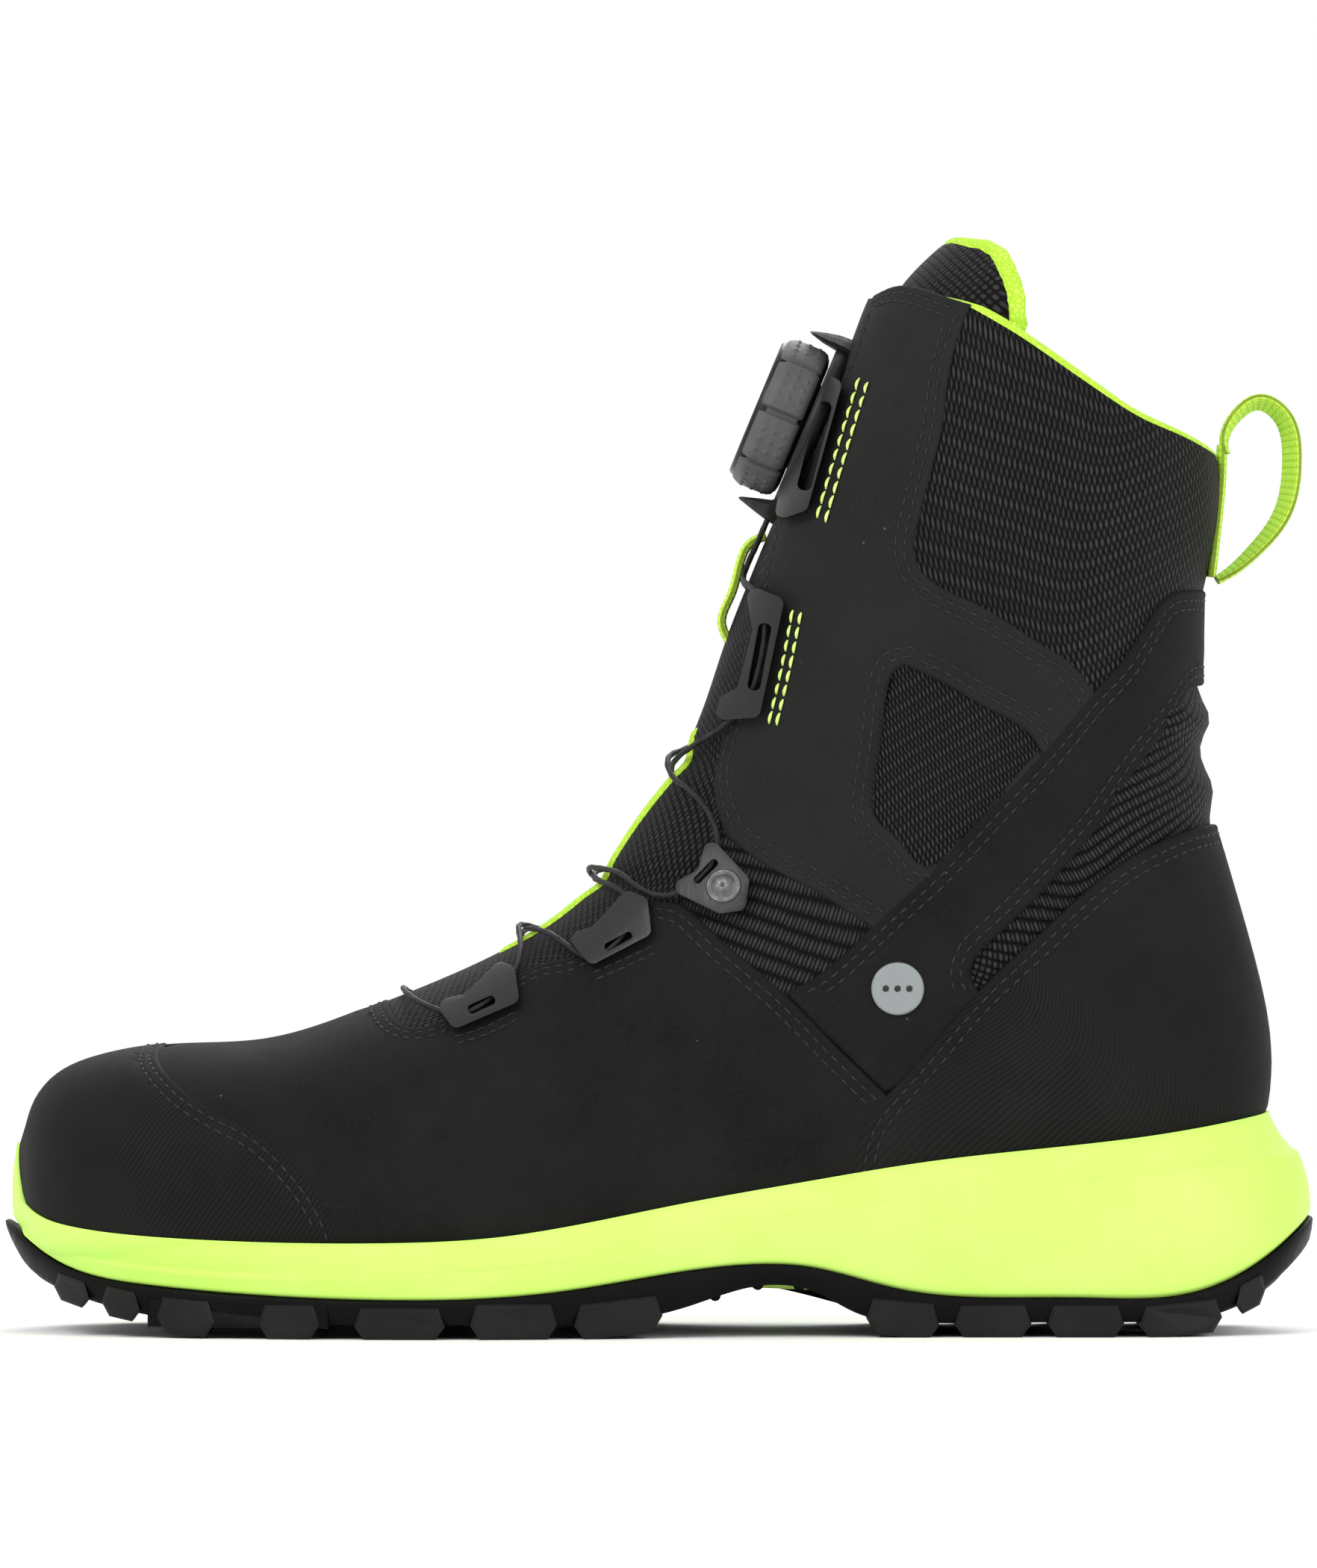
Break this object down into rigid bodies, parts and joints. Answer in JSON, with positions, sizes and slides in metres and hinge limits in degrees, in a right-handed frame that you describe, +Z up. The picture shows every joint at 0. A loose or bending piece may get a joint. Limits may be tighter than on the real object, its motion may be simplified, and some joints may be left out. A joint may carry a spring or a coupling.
{
  "type": "safety boot",
  "caption": "Ankle-high black safety boot with a bright yellow-green midsole, lugged rubber outsole and a lace tightened by a dial on the shin.",
  "frame": {"origin": "centre of the boot's overall plan outline, on the ground", "axes": "-X towards the toe, +X towards the heel, -Y towards the outer side of the foot, +Z up"},
  "size_m": [0.3048, 0.1101, 0.2546],
  "materials": {
    "nubuck": "matte black nubuck leather",
    "textile": "coarse black woven textile",
    "reinforcement": "black ribbed rubberised reinforcement",
    "board": "stitched fibre board",
    "composite": "moulded composite",
    "foam": "open foam padding",
    "neon_lining": "yellow-green knitted lining",
    "footbed": "moulded footbed with knitted cover",
    "tab_textile": "black padded textile with yellow-green lining",
    "outsole": "black nitrile rubber",
    "midsole": "yellow-green foamed polyurethane",
    "plate": "layered puncture-resistant textile",
    "steel": "brushed",
    "dial_housing": "black moulded nylon",
    "dial_inner": "moulded acetal",
    "knob": "dark moulded nylon",
    "knob_grip": "soft grey overmould",
    "guide": "dark grey moulded nylon",
    "rivet": "dark burnished",
    "badge": "moulded grey",
    "webbing": "yellow-green woven webbing",
    "strip": "black woven binding",
    "lace": "braided coated cable"
  },
  "bodies": {
    "root": {"insole_board": "board", "tongue": "textile", "toe_guard": "reinforcement", "vamp": "nubuck", "heel_strap": "nubuck", "collar_textile": "textile", "heel_cover": "reinforcement", "achilles_panel": "nubuck", "flex_panel_outer": "textile", "flex_panel_inner": "textile", "quarter_outer": "nubuck", "quarter_inner": "nubuck", "window_panel_outer": "textile", "window_panel_inner": "textile", "toe_cap": "composite", "heel_counter": "composite", "tongue_padding": "foam", "collar_padding": "foam", "lining": "neon_lining", "footbed": "footbed", "outsole": "outsole", "midsole": "midsole", "puncture_plate": "plate", "shank": "steel", "dial_screw": "steel", "dial_housing": "dial_housing", "ankle_rivets": "rivet", "badge": "badge", "pull_strip": "strip", "lace": "lace", "lace_loop": "webbing", "front_guide_outer": "guide", "front_guide_inner": "guide", "second_guide_outer": "guide", "second_guide_inner": "guide", "ankle_guide_outer": "guide", "ankle_guide_inner": "guide", "tall_guide_outer": "guide", "tall_guide_inner": "guide", "upper_guide_outer": "guide", "upper_guide_inner": "guide"},
    "release": {"release_bushing": "dial_inner"},
    "knob": {"knob": "knob", "knob_grip": "knob_grip"},
    "spool": {"spool": "dial_inner"},
    "tongue_tab": {"tongue_top": "tab_textile"},
    "pull_loop": {"pull_loop": "webbing"}
  },
  "joints": [
    {"name": "knob_release", "type": "slide", "parent": "root", "child": "release", "axis": [-0.9229, 0, 0.385], "range_m": [0, 0.0025]},
    {"name": "knob_turn", "type": "hinge", "parent": "release", "child": "knob", "pos_m": [0.0347, 0, 0.2097], "axis": [-0.9229, 0, 0.385], "continuous": true},
    {"name": "spool_turn", "type": "hinge", "parent": "root", "child": "spool", "pos_m": [0.0347, 0, 0.2097], "axis": [-0.9229, 0, 0.385], "continuous": true},
    {"name": "tongue_fold", "type": "hinge", "parent": "root", "child": "tongue_tab", "pos_m": [0.0565, 0, 0.238], "axis": [0, -1, 0], "range_deg": [0, 14], "stiffness_Nm_per_rad": 0.05},
    {"name": "pull_loop_swing", "type": "hinge", "parent": "root", "child": "pull_loop", "pos_m": [0.131, 0, 0.1906], "axis": [0.0301, 0, 0.9995], "range_deg": [-15, 15], "stiffness_Nm_per_rad": 0.01}
  ],
  "couplings": [
    {"joint": "spool_turn", "follows": "knob_turn", "ratio": 1}
  ]
}
